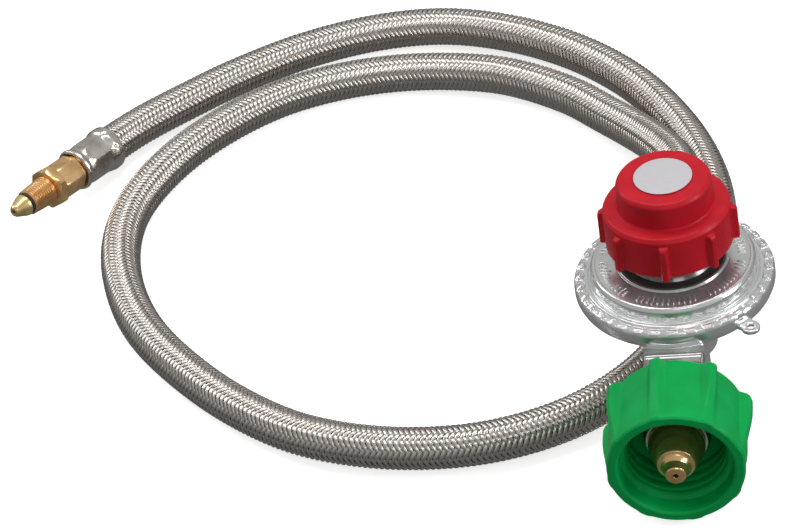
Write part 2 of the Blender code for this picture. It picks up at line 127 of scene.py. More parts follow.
def make_stage():
    """A pale floor, a pale sky and four softboxes: overhead, right, left and front."""
    mesh = bpy.data.meshes.new("floor")
    half = 8.0
    mesh.from_pydata(
        [(-half, -half, 0), (half, -half, 0), (half, half, 0), (-half, half, 0)], [],
        [(0, 1, 2, 3)],
    )
    floor = bpy.data.objects.new("floor", mesh)
    bpy.context.collection.objects.link(floor)
    mesh.materials.append(MATERIALS["floor"])

    floor.visible_glossy = False
    floor.visible_diffuse = False
    scene = bpy.context.scene
    scene.view_settings.view_transform = 'Standard'
    world = bpy.data.worlds.new("studio")
    scene.world = world
    world.use_nodes = True
    tree = world.node_tree
    sky = tree.nodes["Background"]
    height = tree.nodes.new("ShaderNodeSeparateXYZ")
    ramp = tree.nodes.new("ShaderNodeValToRGB")
    spot = tree.nodes.new("ShaderNodeTexCoord")
    tree.links.new(spot.outputs["Generated"], height.inputs[0])
    lift = tree.nodes.new("ShaderNodeMapRange")
    lift.inputs["From Min"].default_value = -1.0
    tree.links.new(height.outputs[2], lift.inputs["Value"])
    tree.links.new(lift.outputs["Result"], ramp.inputs["Fac"])
    tree.links.new(ramp.outputs["Color"], sky.inputs["Color"])
    stops = ((0.0, 0.16), (0.42, 0.17), (0.52, 0.27), (0.64, 0.40), (1.0, 0.52))
    ramp.color_ramp.elements[0].position = stops[0][0]
    ramp.color_ramp.elements[1].position = stops[-1][0]
    for position, _ in stops[1:-1]:
        ramp.color_ramp.elements.new(position)
    for element, (_, shade) in zip(ramp.color_ramp.elements, stops):
        element.color = (shade, shade, shade * 0.99, 1.0)
    sky.inputs["Strength"].default_value = 1.0
    make_area("overhead", (-0.15, 0.35, 1.3), (-0.1, 0.1, 0), (0.9, 0.4), 6.0)
    make_area("right_box", (1.1, -0.25, 0.62), (0, 0, 0.03), (0.35, 0.8), 6.5)
    make_area("left_box", (-1.2, 0.5, 0.85), (-0.1, 0.05, 0.03), (0.3, 0.9), 4.2)
    make_area("front_box", (0.35, -1.3, 1.25), (0, 0, 0.03), (0.7, 0.3), 1.8)


# --- Materials ---------------------------------------------------------------------


class Shader:
    """A Principled material with short helpers for its pattern nodes."""

    def __init__(self, name, colour, roughness, metallic):
        self.material = bpy.data.materials.new(name)
        self.material.use_nodes = True
        self.tree = self.material.node_tree
        self.base = self.tree.nodes["Principled BSDF"]
        self.base.inputs["Base Color"].default_value = (*colour, 1.0)
        self.base.inputs["Roughness"].default_value = roughness
        self.base.inputs["Metallic"].default_value = metallic
        MATERIALS[name] = self.material

    def node(self, kind, **inputs):
        node = self.tree.nodes.new(kind)
        for key, value in inputs.items():
            self.feed(node.inputs[key.replace("_", " ")], value)
        return node

    def feed(self, socket, value):
        if isinstance(value, bpy.types.NodeSocket):
            self.tree.links.new(value, socket)
        else:
            socket.default_value = value

    def math(self, operation, first, second=0.0):
        node = self.tree.nodes.new("ShaderNodeMath")
        node.operation = operation
        self.feed(node.inputs[0], first)
        self.feed(node.inputs[1], second)
        return node.outputs[0]

    def attribute(self, name):
        node = self.tree.nodes.new("ShaderNodeAttribute")
        node.attribute_name = name
        return node.outputs["Vector"]

    def split(self, vector):
        return self.node("ShaderNodeSeparateXYZ", Vector=vector).outputs

    def join(self, x=0.0, y=0.0, z=0.0):
        return self.node("ShaderNodeCombineXYZ", X=x, Y=y, Z=z).outputs[0]

    def spot(self):
        return self.node("ShaderNodeTexCoord").outputs["Object"]

    def noise(self, scale, vector=None, detail=2.0, roughness=0.5):
        vector = self.spot() if vector is None else vector
        node = self.node(
            "ShaderNodeTexNoise", Vector=vector, Scale=scale, Detail=detail,
            Roughness=roughness,
        )
        return node.outputs["Fac"]

    def spread(self, value, low, high, start=0.0, end=1.0):
        node = self.node("ShaderNodeMapRange", Value=value)
        node.inputs["From Min"].default_value = start
        node.inputs["From Max"].default_value = end
        node.inputs["To Min"].default_value = low
        node.inputs["To Max"].default_value = high
        return node.outputs["Result"]

    def blend(self, factor, first, second):
        node = self.tree.nodes.new("ShaderNodeMix")
        node.data_type = 'RGBA'
        self.feed(node.inputs["Factor"], factor)
        for socket, value in ((node.inputs[6], first), (node.inputs[7], second)):
            self.feed(socket, value if isinstance(value, bpy.types.NodeSocket)
                      else (*value, 1.0))
        return node.outputs[2]

    def colour(self, value):
        self.feed(self.base.inputs["Base Color"], value)

    def rough(self, value):
        self.feed(self.base.inputs["Roughness"], value)

    def bump(self, height, distance, strength=1.0, below=None):
        node = self.node("ShaderNodeBump", Height=height, Distance=distance * MM)
        node.inputs["Strength"].default_value = strength
        if below is not None:
            self.feed(node.inputs["Normal"], below)
        self.feed(self.base.inputs["Normal"], node.outputs[0])
        return node.outputs[0]


def cast_zinc():
    """Plated die casting with a faint orange peel, and painted shade darkening the neck and the
    plate by the tower.
    """
    shader = Shader("zinc", (0.78, 0.79, 0.79), 0.20, 0.80)
    cloud = shader.noise(70.0, detail=3.0)
    radius = shader.split(shader.attribute("path"))[2]
    # Painted shade: darker zinc round the tower under the knob and on the front of the neck,
    # standing in for the knob's shadow and dark reflections.
    centre = shader.math('MULTIPLY', shader.spread(radius, 1.0, 0.0, 18.5, 21.5),
                         shader.spread(radius, 0.0, 1.0, 4.0, 8.0))
    neck = shader.spread(shader.split(shader.spot())[1], 0.75, 0.0, -0.0325, -0.0306)
    painted_shade = shader.math('MAXIMUM', centre, neck)
    bright = shader.blend(cloud, (0.70, 0.71, 0.71), (0.86, 0.87, 0.87))
    shader.colour(shader.blend(painted_shade, bright, (0.20, 0.195, 0.195)))
    fine = shader.noise(260.0, detail=2.0)
    shader.rough(shader.spread(fine, 0.14, 0.27, 0.3, 0.7))
    peel = shader.bump(shader.noise(160.0, detail=1.0), 0.06, 0.18)
    shader.bump(shader.noise(1900.0, detail=1.0), 0.006, 0.25, peel)


def turned_metal(name, dark, light, rough_low, rough_high, groove=0.5, metallic=1.0):
    """Lathe-turned metal: fine rings round the axis and a slightly uneven tarnish."""
    shader = Shader(name, light, rough_low, metallic)
    stain = shader.noise(160.0, detail=4.0)
    path = shader.split(shader.attribute("path"))
    across = shader.join(0.0, path[1], path[2])
    rings = shader.noise(9.0, across, detail=3.0, roughness=0.7)
    shader.colour(shader.blend(shader.spread(stain, 0.0, 1.0, 0.35, 0.65), dark, light))
    shader.rough(shader.spread(rings, rough_low, rough_high, 0.3, 0.7))
    under = shader.bump(rings, 0.012, groove)
    shader.bump(shader.noise(1500.0), 0.008, 0.4, under)


def moulded_plastic(name, dark, light, rough_low=0.30, rough_high=0.46):
    """Injection-moulded plastic: soft sheen, faint flow marks and a fine grain."""
    shader = Shader(name, light, rough_low, 0.0)
    flow = shader.node("ShaderNodeMapping", Vector=shader.spot())
    flow.inputs["Scale"].default_value = (1.0, 1.0, 0.25)
    marks = shader.noise(130.0, flow.outputs[0], detail=3.0)
    shader.colour(shader.blend(shader.spread(marks, 0.0, 1.0, 0.3, 0.7), dark, light))
    shader.rough(shader.spread(shader.noise(700.0), rough_low, rough_high, 0.35, 0.65))
    under = shader.bump(shader.noise(2200.0, detail=1.0), 0.02, 0.35)
    shader.bump(shader.noise(170.0, detail=1.0), 0.10, 0.35, under)
    shader.base.inputs["IOR"].default_value = 1.46
    shader.base.inputs["Specular IOR Level"].default_value = 0.20


def braid_wire():
    """Bands of fine steel wires laid side by side, with painted shade in the grooves between
    the wires.
    """
    shader = Shader("braid", (0.5, 0.49, 0.47), 0.3, 1.0)
    path = shader.split(shader.attribute("path"))
    strand = shader.math('MULTIPLY', path[0], 7.0)
    inside = shader.math('SUBTRACT', shader.math('FRACT', strand), 0.5)
    hollow = shader.math('MULTIPLY', shader.math('MULTIPLY', inside, inside), 4.0)
    crown = shader.math('SUBTRACT', 1.0, hollow)
    wire = shader.math('FLOOR', strand)
    pick = shader.node("ShaderNodeTexWhiteNoise", Vector=shader.join(wire, path[2], 0.0))
    along = shader.noise(0.25, shader.join(wire, path[1], path[2]), detail=2.0)
    tone = shader.math('ADD', shader.math('MULTIPLY', pick.outputs["Value"], 0.35),
                       shader.math('MULTIPLY', along, 0.65))
    metal = shader.blend(tone, (0.46, 0.42, 0.38), (0.82, 0.77, 0.72))
    # Painted shade: the colour darkens towards each wire's edges and the band's edges, for the
    # shade in the grooves between them.
    shade = shader.spread(crown, 0.0, 1.0, 0.0, 0.35)
    shader.colour(shader.blend(shade, (0.24, 0.225, 0.21), metal))
    shader.rough(shader.spread(along, 0.20, 0.32, 0.3, 0.7))
    shader.bump(crown, 0.035, 0.6)


def hose_rubber(name, colour=(0.025, 0.024, 0.023)):
    shader = Shader(name, colour, 0.6, 0.0)
    speck = shader.noise(900.0, detail=3.0)
    shader.colour(shader.blend(speck, colour, tuple(c * 1.8 for c in colour)))
    shader.rough(shader.spread(speck, 0.5, 0.75, 0.3, 0.7))
    shader.bump(speck, 0.03, 0.5)


def paper_label():
    """A blank, pale foil label with a faint brushed grain."""
    shader = Shader("label", (0.60, 0.59, 0.61), 0.42, 0.0)
    stretch = shader.node("ShaderNodeMapping", Vector=shader.spot())
    stretch.inputs["Scale"].default_value = (1.0, 14.0, 1.0)
    grain = shader.noise(260.0, stretch.outputs[0], detail=3.0)
    shader.colour(shader.blend(grain, (0.50, 0.49, 0.52), (0.60, 0.59, 0.61)))
    shader.rough(shader.spread(grain, 0.34, 0.5, 0.3, 0.7))
    shader.bump(grain, 0.008, 0.4)


def floor_paint():
    shader = Shader("floor", (0.90, 0.90, 0.895), 0.6, 0.0)
    shader.rough(shader.spread(shader.noise(6.0), 0.55, 0.7))
    shader.base.inputs["Emission Color"].default_value = (1.0, 1.0, 0.995, 1.0)
    shader.base.inputs["Emission Strength"].default_value = 0.68


MATERIALS = {}
cast_zinc()
turned_metal("brass", (0.74, 0.43, 0.18), (0.97, 0.63, 0.31), 0.20, 0.34, 0.15, 0.82)
turned_metal("nose_brass", (0.70, 0.44, 0.17), (0.90, 0.62, 0.28), 0.12, 0.17, 0.03, 0.9)
turned_metal("tip_brass", (0.72, 0.50, 0.20), (0.95, 0.74, 0.38), 0.18, 0.30, 0.1, 0.8)
turned_metal("steel", (0.60, 0.55, 0.50), (0.86, 0.81, 0.75), 0.14, 0.28, 0.25)
turned_metal("aluminium", (0.56, 0.57, 0.58), (0.74, 0.75, 0.77), 0.26, 0.42)
moulded_plastic("red_plastic", (0.49, 0.008, 0.018), (0.58, 0.011, 0.025))
moulded_plastic("green_plastic", (0.0, 0.34, 0.068), (0.0, 0.40, 0.083))
moulded_plastic("black_plastic", (0.012, 0.012, 0.012), (0.03, 0.03, 0.03))
braid_wire()
hose_rubber("rubber")
paper_label()
floor_paint()


# --- Shape tools -------------------------------------------------------------------


def fillet(outline, radius, closed=True, parts=4):
    """Rounds an outline's corners. A third number on a corner is its own radius."""
    points = [Vector(corner[:2]) for corner in outline]
    radii = [corner[2] if len(corner) > 2 else radius for corner in outline]
    count = len(points)
    rounded = []
    for index, corner in enumerate(points):
        at_end = not closed and index in (0, count - 1)
        before = points[index - 1] - corner
        after = points[(index + 1) % count] - corner
        turn = math.pi - before.angle(after, math.pi) if not at_end else 0.0
        if at_end or radii[index] <= 0 or turn < 0.12 or corner.x <= 1e-6:
            rounded.append(tuple(corner))
            continue
        reach = min(
            radii[index] * math.tan(turn / 2), 0.45 * before.length, 0.45 * after.length
        )
        start = corner + before.normalized() * reach
        end = corner + after.normalized() * reach
        steps = parts if turn > 0.5 else 2
        for step in range(steps + 1):
            t = step / steps
            spot = start * (1 - t) ** 2 + corner * 2 * t * (1 - t) + end * t**2
            rounded.append(tuple(spot))
    return rounded


def add_mesh(name, vertices, faces, matrix, finish, path=None, sharp=38.0, weld=True):
    """Makes an object from arrays, with its pattern path stored on the vertices."""
    mesh = bpy.data.meshes.new(name)
    mesh.from_pydata([tuple(v) for v in vertices], [], [tuple(f) for f in faces])
    if path is not None:
        layer = mesh.attributes.new("path", 'FLOAT_VECTOR', 'POINT')
        layer.data.foreach_set("vector", np.asarray(path, dtype=np.float32).ravel())
    if weld:
        builder = bmesh.new()
        builder.from_mesh(mesh)
        bmesh.ops.remove_doubles(builder, verts=builder.verts, dist=2e-6)
        bmesh.ops.recalc_face_normals(builder, faces=builder.faces)
        builder.to_mesh(mesh)
        builder.free()
    mesh.transform(matrix)
    mesh.shade_smooth()
    mesh.set_sharp_from_angle(angle=math.radians(sharp))
    mesh.materials.append(MATERIALS[finish])
    piece = bpy.data.objects.new(name, mesh)
    bpy.context.collection.objects.link(piece)
    return piece


def lathe_arrays(outline, steps=96, shape=None, closed=True, angles=None):
    """Spins an outline. shape(angle, radius, height) may move its points in and out."""
    turns = np.linspace(0, 2 * math.pi, steps, endpoint=False) if angles is None else angles
    turns = np.asarray(turns, dtype=float)
    radius, height = np.asarray(outline, dtype=float).T
    count, across = len(turns), len(radius)
    angle = np.repeat(turns[:, None], across, axis=1)
    radius = np.repeat(radius[None, :], count, axis=0)
    height = np.repeat(height[None, :], count, axis=0)
    if shape:
        radius, height = shape(angle, radius, height)
    spots = np.stack([radius * np.cos(angle), radius * np.sin(angle), height], axis=-1)
    path = np.stack([angle, height, radius], axis=-1)
    row = np.arange(count)
    col = np.arange(across if closed else across - 1)
    a, b = np.meshgrid(row, col, indexing="ij")
    a2, b2 = (a + 1) % count, (b + 1) % across
    faces = np.stack([a * across + b, a2 * across + b, a2 * across + b2, a * across + b2], -1)
    return spots.reshape(-1, 3) * MM, faces.reshape(-1, 4), path.reshape(-1, 3)


def lathe(name, outline, matrix, finish, **options):
    sharp = options.pop("sharp", 38.0)
    spots, faces, path = lathe_arrays(outline, **options)
    return add_mesh(name, spots, faces, matrix, finish, path, sharp)


def weighted(piece):
    """Keeps flat faces flat beside their rounded edges."""
    step = piece.modifiers.new("even_normals", 'WEIGHTED_NORMAL')
    step.keep_sharp = True
    return piece


def smoothstep(value, low, high):
    t = np.clip((value - low) / (high - low), 0.0, 1.0)
    return t * t * (3 - 2 * t)


def rib_angles(count, phase, radius, half_width, flank, between):
    """Angles for a ribbed wall: close together on the ribs' flanks, wide elsewhere."""
    pitch = 2 * math.pi / count
    near = [0.0, 0.35, 0.62, 0.85]
    offsets = [half_width * share for share in near]
    offsets += [half_width + flank * share for share in (0.0, 0.2, 0.4, 0.6, 0.8, 1.0)]
    last = offsets[-1] / radius
    spread = [last + (pitch / 2 - last) * (k + 1) / between for k in range(between)]
    side = [offset / radius for offset in offsets] + spread
    one = sorted({round(a, 9) for a in side[:-1]} | {round(-a, 9) for a in side})
    return [math.radians(phase) + pitch * index + a for index in range(count) for a in one]


def rib_height(angle, count, phase, radius, half_width, flank):
    """1 on a rib's crest, 0 between the ribs."""
    pitch = 2 * math.pi / count
    offset = (angle - math.radians(phase) + pitch / 2) % pitch - pitch / 2
    return 1 - smoothstep(np.abs(offset) * radius, half_width, half_width + flank)


def denser(outline, low, high, count):
    """Adds evenly spaced points along each long edge between two heights."""
    result = []
    for (r0, h0), (r1, h1) in zip(outline, outline[1:] + outline[:1]):
        result.append((r0, h0))
        inside = min(h0, h1) >= low - 1e-6 and max(h0, h1) <= high + 1e-6
        if inside and abs(h1 - h0) > 1.5:
            for step in range(1, count):
                t = step / count
                result.append((r0 + (r1 - r0) * t, h0 + (h1 - h0) * t))
    return result


def boxed(low, high, bevel, turn=None):
    """A rounded box as a bmesh, for the casting."""
    builder = bmesh.new()
    bmesh.ops.create_cube(builder, size=1.0)
    size = [(b - a) * MM for a, b in zip(low, high)]
    middle = [(a + b) / 2 * MM for a, b in zip(low, high)]
    bmesh.ops.scale(builder, vec=size, verts=builder.verts)
    bmesh.ops.translate(builder, vec=middle, verts=builder.verts)
    bmesh.ops.bevel(builder, geom=builder.edges[:], offset=bevel * MM, segments=3,
                    profile=0.5, affect='EDGES')
    if turn is not None:
        bmesh.ops.transform(builder, matrix=turn, verts=builder.verts)
    return builder


def hexagon_arrays(across_flats, low, high, chamfer=0.9, turn=0.0, steps=72, bore=0.0):
    """A spanner hexagon with its corners turned off at both ends."""
    apothem = across_flats / 2
    corner = apothem / math.cos(math.pi / 6)

    def shape(angle, radius, height):
        local = (angle - turn + math.pi / 6) % (math.pi / 3) - math.pi / 6
        flat = apothem / np.cos(local)
        blunt = np.minimum(flat, corner - 0.25)
        return np.minimum(radius, blunt), height

    rim = corner - chamfer * 1.7
    outline = [(bore, low), (rim, low), (rim + 0.5, low + 0.12), (corner, low + chamfer),
               (corner, high - chamfer), (rim + 0.5, high - 0.12), (rim, high), (bore, high)]
    angles = []
    for side in range(6):
        middle = turn + side * math.pi / 3
        edges = (-30, -28.6, -27.4, -26, -22, -15, -8, 0, 8, 15, 22, 26, 27.4, 28.6)
        angles += [middle + math.radians(edge) for edge in edges]
    outline = denser(outline, low, high, 3)
    return lathe_arrays(outline, shape=shape, angles=angles)


def put_together(name, parts, matrix, finish, sharp=38.0):
    """One piece from several closed shells that are joined in the real part."""
    spots, faces, paths, start = [], [], [], 0
    for part_spots, part_faces, part_path in parts:
        spots.append(part_spots)
        faces.append(part_faces + start)
        paths.append(part_path)
        start += len(part_spots)
    return add_mesh(
        name, np.concatenate(spots), np.concatenate(faces), matrix, finish,
        np.concatenate(paths), sharp,
    )


def stand_for(piece, body, *nodes):
    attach(piece, body)
    if nodes:
        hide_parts(*nodes)
    return piece


# --- The hose ----------------------------------------------------------------------


def smooth_route(route, step):
    """Evenly spaced points, in millimetres, on the smooth curve through the route."""
    stops = [np.array(stop, dtype=float) for stop in route]
    stops = [2 * stops[0] - stops[1]] + stops + [2 * stops[-1] - stops[-2]]
    fine = []
    for before, start, end, after in zip(stops, stops[1:], stops[2:], stops[3:]):
        for index in range(40):
            t = index / 40
            pull = (end - before) / 2
            push = (after - start) / 2
            fine.append(
                start * (2 * t**3 - 3 * t**2 + 1) + pull * (t**3 - 2 * t**2 + t)
                + end * (3 * t**2 - 2 * t**3) + push * (t**3 - t**2)
            )
    fine.append(stops[-2])
    fine = np.array(fine)
    walked = np.concatenate([[0], np.cumsum(np.linalg.norm(np.diff(fine, axis=0), axis=1))])
    count = int(round(walked[-1] / step)) + 1
    target = np.linspace(0, walked[-1], count)
    points = np.stack([np.interp(target, walked, fine[:, axis]) for axis in range(3)], axis=1)
    return points, target


def carried_frames(points):
    """Two directions across the line at each point, carried along without twisting."""
    ahead = np.gradient(points, axis=0)
    ahead /= np.linalg.norm(ahead, axis=1)[:, None]
    first = np.zeros_like(points)
    side = np.cross(ahead[0], [0, 0, 1])
    first[0] = side / np.linalg.norm(side)
    for index in range(1, len(points)):
        side = first[index - 1] - ahead[index] * np.dot(first[index - 1], ahead[index])
        first[index] = side / np.linalg.norm(side)
    return first, np.cross(ahead, first)


BRAID_LAY = 24.6
CARRIERS = 12
BAND_WIDTH = 1.52
BRAID_STEP = 0.6
CORE_STEP = 4.0


def braid_band_arrays(points, walked, first, second, direction):
    """All the wire bands that run one way round the hose: over two, under two."""
    spots, faces, paths, start = [], [], [], 0
    turn = 2 * math.pi / BRAID_LAY
    radius = HOSE_D / 2 - 0.36
    slope = math.atan(radius * turn)
    across = np.array([-1.0, -0.55, 0.0, 0.55, 1.0]) * BAND_WIDTH / 2
    crown = np.array([-0.26, -0.07, 0.04, -0.07, -0.26])
    for carrier in range(CARRIERS):
        angle = 2 * math.pi * carrier / CARRIERS + direction * turn * walked
        row = 2 * carrier + direction * turn * walked * CARRIERS / math.pi
        wave = direction * np.sin((row + 0.5) * math.pi / 2)
        lift = 0.34 * wave * (0.94 + 0.06 * math.sin(carrier * 2.1)) + 0.02
        for k, (shift, rise) in enumerate(zip(across, crown)):
            # Across a band is partly round the hose and partly along it.
            turned = angle + shift * math.cos(slope) / radius
            along = -direction * shift * math.sin(slope)
            base = np.stack([
                np.interp(walked + along, walked, points[:, axis]) for axis in range(3)
            ], axis=1)
            reach = radius + lift + rise
            spot = base + reach[:, None] * (
                np.cos(turned)[:, None] * first + np.sin(turned)[:, None] * second
            )
            spots.append(spot)
            width = np.full(len(walked), k / (len(across) - 1))
            paths.append(np.stack([width, walked, np.full(len(walked), carrier * 3.7)], 1))
        rows = len(walked)
        a, b = np.meshgrid(np.arange(rows - 1), np.arange(len(across) - 1), indexing="ij")
        corner = start + b * rows + a
        side = start + (b + 1) * rows + a
        quads = np.stack([corner, corner + 1, side + 1, side], -1)
        faces.append(quads.reshape(-1, 4))
        start += rows * len(across)
    return np.concatenate(spots) * MM, np.concatenate(faces), np.concatenate(paths)


def make_hose():
    points, walked = smooth_route(HOSE_ROUTE, BRAID_STEP)
    length = float(walked[-1])
    first, second = carried_frames(points)

    core_points, _ = smooth_route(HOSE_ROUTE, CORE_STEP)
    core_first, core_second = carried_frames(core_points)
    turns = np.linspace(0, 2 * math.pi, 20, endpoint=False)
    core_r = HOSE_D / 2 - 0.78
    rings = core_points[:, None, :] + core_r * (
        np.cos(turns)[None, :, None] * core_first[:, None, :]
        + np.sin(turns)[None, :, None] * core_second[:, None, :]
    )
    rows, sides = len(core_points), len(turns)
    a, b = np.meshgrid(np.arange(rows - 1), np.arange(sides), indexing="ij")
    quads = np.stack([
        a * sides + b, a * sides + (b + 1) % sides, (a + 1) * sides + (b + 1) % sides,
        (a + 1) * sides + b,
    ], -1).reshape(-1, 4)
    spots = list(rings.reshape(-1, 3)) + [core_points[0], core_points[-1]]
    caps = []
    for side in range(sides):
        caps.append((len(spots) - 2, (side + 1) % sides, side))
        last = (rows - 1) * sides
        caps.append((len(spots) - 1, last + side, last + (side + 1) % sides))
    faces = [tuple(q) for q in quads] + caps
    core = add_mesh("hose_tube", np.array(spots) * MM, faces, Matrix.Identity(4), "rubber")
    stand_for(core, BODY, "hose")

    bands = []
    for direction, name in ((1, "braid_right"), (-1, "braid_left")):
        spots, faces, path = braid_band_arrays(points, walked, first, second, direction)
        band = add_mesh(name, spots, faces, Matrix.Identity(4), "braid", path, 60.0, False)
        stand_for(band, BODY)
        bands.append(band)
    return core, bands, [tuple(p * MM) for p in core_points], length * MM


# --- The housing -------------------------------------------------------------------


LIP_TEETH = 34


def make_lip():
    """The rolled lip, staked inwards all round by the crimping tool."""
    outline = fillet([
        (30.5, 47.6), (32.7, 47.5), (32.8, 50.6, 0.3), (33.8, 50.7, 0.4),
        (34.3, 52.2, 0.5), (35.0, 52.5, 0.6), (35.8, 51.6, 1.4), (36.45, 49.8, 2.2),
        (36.45, 47.0, 2.4), (35.6, 44.9, 2.4), (33.0, 42.6, 2.0), (30.5, 43.2),
    ], 0.5, parts=5)
    dense = []
    for (r0, h0), (r1, h1) in zip(outline, outline[1:] + outline[:1]):
        dense.append((r0, h0))
        if r0 > 33.5 and r1 > 33.5 and h0 > 50.5 and h1 > 50.5:
            dense.append(((r0 + r1) / 2, (h0 + h1) / 2))

    def shape(angle, radius, height):
        wave = 0.5 + 0.5 * np.cos(LIP_TEETH * angle)
        tooth = smoothstep(wave, 0.25, 0.95)
        edge = smoothstep(radius, 33.7, 34.2) * (1 - smoothstep(radius, 35.3, 36.2))
        edge = edge * smoothstep(height, 50.7, 51.7)
        radius = radius - 0.80 * tooth * edge
        height = height - 1.25 * (1 - tooth) * edge
        return radius, height

    return lathe("housing_lip", dense, REGULATOR, "zinc", steps=476, shape=shape)


def make_casting():
    """Bowl, inlet neck, valve chest, outlet boss and tie tab, with cast fillets."""
    shells = [
        lathe_arrays([(0, 36.6), (19, 36.6), (27, 38.8), (33, 42.6), (35.4, 45.0),
                      (36.0, 46.4), (36.0, 48.0), (0, 48.0)], steps=96, closed=False),
        lathe_arrays([(0, 17.2), (12.2, 17.2), (13.2, 18.2), (13.2, 38.5), (0, 38.5)],
                     steps=64, closed=False),
    ]
    builder = bmesh.new()
    for spots, faces, _ in shells:
        verts = [builder.verts.new(spot) for spot in spots]
        for face in faces:
            builder.faces.new([verts[i] for i in face])
    mesh = bpy.data.meshes.new("housing_casting")
    for matrix, outline in (
        (Matrix.Rotation(-math.pi / 2, 4, 'X'),
         [(0, 4), (9.6, 4), (9.6, 42.8), (8.8, 44.0), (0, 44.0)]),
        (Matrix.Rotation(math.pi / 2, 4, 'X'),
         [(0, 20), (10.3, 20), (10.3, 50.3), (9.8, 50.85), (0, 50.85)]),
    ):
        spots, faces, _ = lathe_arrays(outline, steps=64, closed=False)
        whole = place(0, 0, PORT_Z) @ matrix
        verts = [builder.verts.new(whole @ Vector(spot)) for spot in spots]
        for face in faces:
            builder.faces.new([verts[i] for i in face])
    bmesh.ops.remove_doubles(builder, verts=builder.verts, dist=2e-6)
    bmesh.ops.recalc_face_normals(builder, faces=builder.faces)
    builder.to_mesh(mesh)
    builder.free()

    extras = [
        boxed((-10.9, -46.5, 17.6), (10.9, -14, 44.1), 1.1),
        boxed((-10.6, -39.6, 43.0), (10.6, -38.2, 44.75), 0.5),
        boxed((-6.5, -30, 14.6), (6.5, 30, 24), 2.0),
    ]
    tab = bmesh.new()
    angle = math.radians(-46.0)
    outer, inner, thick = 3.5, 1.25, 0.9
    ring, height = [], 46.15
    for outline_r, outline_z in ((inner, -thick), (outer, -thick), (outer, thick),
                                 (inner, thick)):
        ring.append([
            tab.verts.new(Vector((
                (39.5 + outline_r * math.cos(t)) * MM, outline_r * math.sin(t) * MM,
                (height + outline_z) * MM,
            ))) for t in np.linspace(0, 2 * math.pi, 32, endpoint=False)
        ])
    for one, two in zip(ring, ring[1:] + ring[:1]):
        for k in range(32):
            tab.faces.new((one[k], one[(k + 1) % 32], two[(k + 1) % 32], two[k]))
    bmesh.ops.transform(tab, matrix=Matrix.Rotation(angle, 4, 'Z'), verts=tab.verts)
    bmesh.ops.recalc_face_normals(tab, faces=tab.faces)
    extras.append(tab)
    extras.append(boxed((34.0, -3.3, 45.0), (37.2, 3.3, 47.3), 0.6,
                        Matrix.Rotation(angle, 4, 'Z')))
    joined = bmesh.new()
    joined.from_mesh(mesh)
    for extra in extras:
        spare = bpy.data.meshes.new("spare")
        extra.to_mesh(spare)
        extra.free()
        joined.from_mesh(spare)
        bpy.data.meshes.remove(spare)
    joined.to_mesh(mesh)
    joined.free()

    casting = bpy.data.objects.new("housing_casting", mesh)
    bpy.context.collection.objects.link(casting)
    remesh = casting.modifiers.new("cast", 'REMESH')
    remesh.mode = 'VOXEL'
    remesh.voxel_size = 0.42 * MM
    soft = casting.modifiers.new("fillets", 'SMOOTH')
    soft.factor = 0.5
    soft.iterations = 9
    cutters = [
        lathe_arrays([(0, 39.5), (29.5, 39.5), (31.0, 41.0), (31.2, 60), (0, 60)],
                     steps=64, closed=False),
    ]
    holes = bmesh.new()
    for spots, faces, _ in cutters:
        verts = [holes.verts.new(spot) for spot in spots]
        for face in faces:
            holes.faces.new([verts[i] for i in face])
    for matrix, outline in (
        (Matrix.Rotation(-math.pi / 2, 4, 'X'),
         [(0, 4.1), (3.2, 4.1), (3.2, 27), (7.05, 27.1), (7.05, 60), (0, 60)]),
        (Matrix.Rotation(math.pi / 2, 4, 'X'),
         [(0, 4.1), (4.2, 4.1), (4.2, 17.0), (7.1, 17.1), (7.1, 60), (0, 60)]),
    ):
        spots, faces, _ = lathe_arrays(outline, steps=40, closed=False)
        whole = place(0, 0, PORT_Z) @ matrix
        verts = [holes.verts.new(whole @ Vector(spot)) for spot in spots]
        for face in faces:
            holes.faces.new([verts[i] for i in face])
    bmesh.ops.remove_doubles(holes, verts=holes.verts, dist=2e-6)
    bmesh.ops.recalc_face_normals(holes, faces=holes.faces)
    pocket = boxed((-7.03, -10.2, 20.4), (6.98, 11.2, 42), 0.1)
    spare = bpy.data.meshes.new("spare")
    pocket.to_mesh(spare)
    pocket.free()
    holes.from_mesh(spare)
    bpy.data.meshes.remove(spare)
    cut_mesh = bpy.data.meshes.new("bores")
    holes.to_mesh(cut_mesh)
    holes.free()
    bores = bpy.data.objects.new("bores", cut_mesh)
    bpy.context.collection.objects.link(bores)
    cut = casting.modifiers.new("bores", 'BOOLEAN')
    cut.operation = 'DIFFERENCE'
    cut.object = bores
    cut.use_self = True

    bpy.context.view_layer.update()
    graph = bpy.context.evaluated_depsgraph_get()
    final = bpy.data.meshes.new_from_object(casting.evaluated_get(graph))
    casting.modifiers.clear()
    casting.data = final
    bpy.data.meshes.remove(mesh)
    bpy.data.objects.remove(bores, do_unlink=True)
    final.name = "housing_casting"
    final.transform(REGULATOR)
    final.materials.clear()
    final.materials.append(MATERIALS["zinc"])
    final.shade_smooth()
    final.set_sharp_from_angle(angle=math.radians(50))
    return casting


def make_bonnet():
    """The cover plate with its raised rings, and the tower under the knob."""
    outline = fillet([
        (34.3, 49.0), (34.3, 51.0), (33.0, 51.15), (32.4, 51.9, 0.5), (31.4, 52.1, 0.5),
        (30.9, 51.5), (30.4, 51.7, 0.6), (29.95, 56.0, 1.2), (29.1, 57.25, 1.0),
        (28.4, 57.45, 0.4), (27.9, 57.2, 0.3), (20.6, 57.75, 0.2), (20.1, 58.5, 0.3),
        (19.2, 58.65, 0.3), (18.8, 58.1, 0.2), (15.8, 58.3, 0.8), (14.5, 59.8, 0.8),
        (14.45, 79.0), (13.9, 79.6), (12.0, 79.6), (12.0, 57.4), (13.0, 56.4),
        (27.4, 55.6), (28.4, 54.6), (28.4, 49.0),
    ], 0.3, parts=4)
    return weighted(lathe("cover_plate", outline, REGULATOR, "zinc", steps=144))


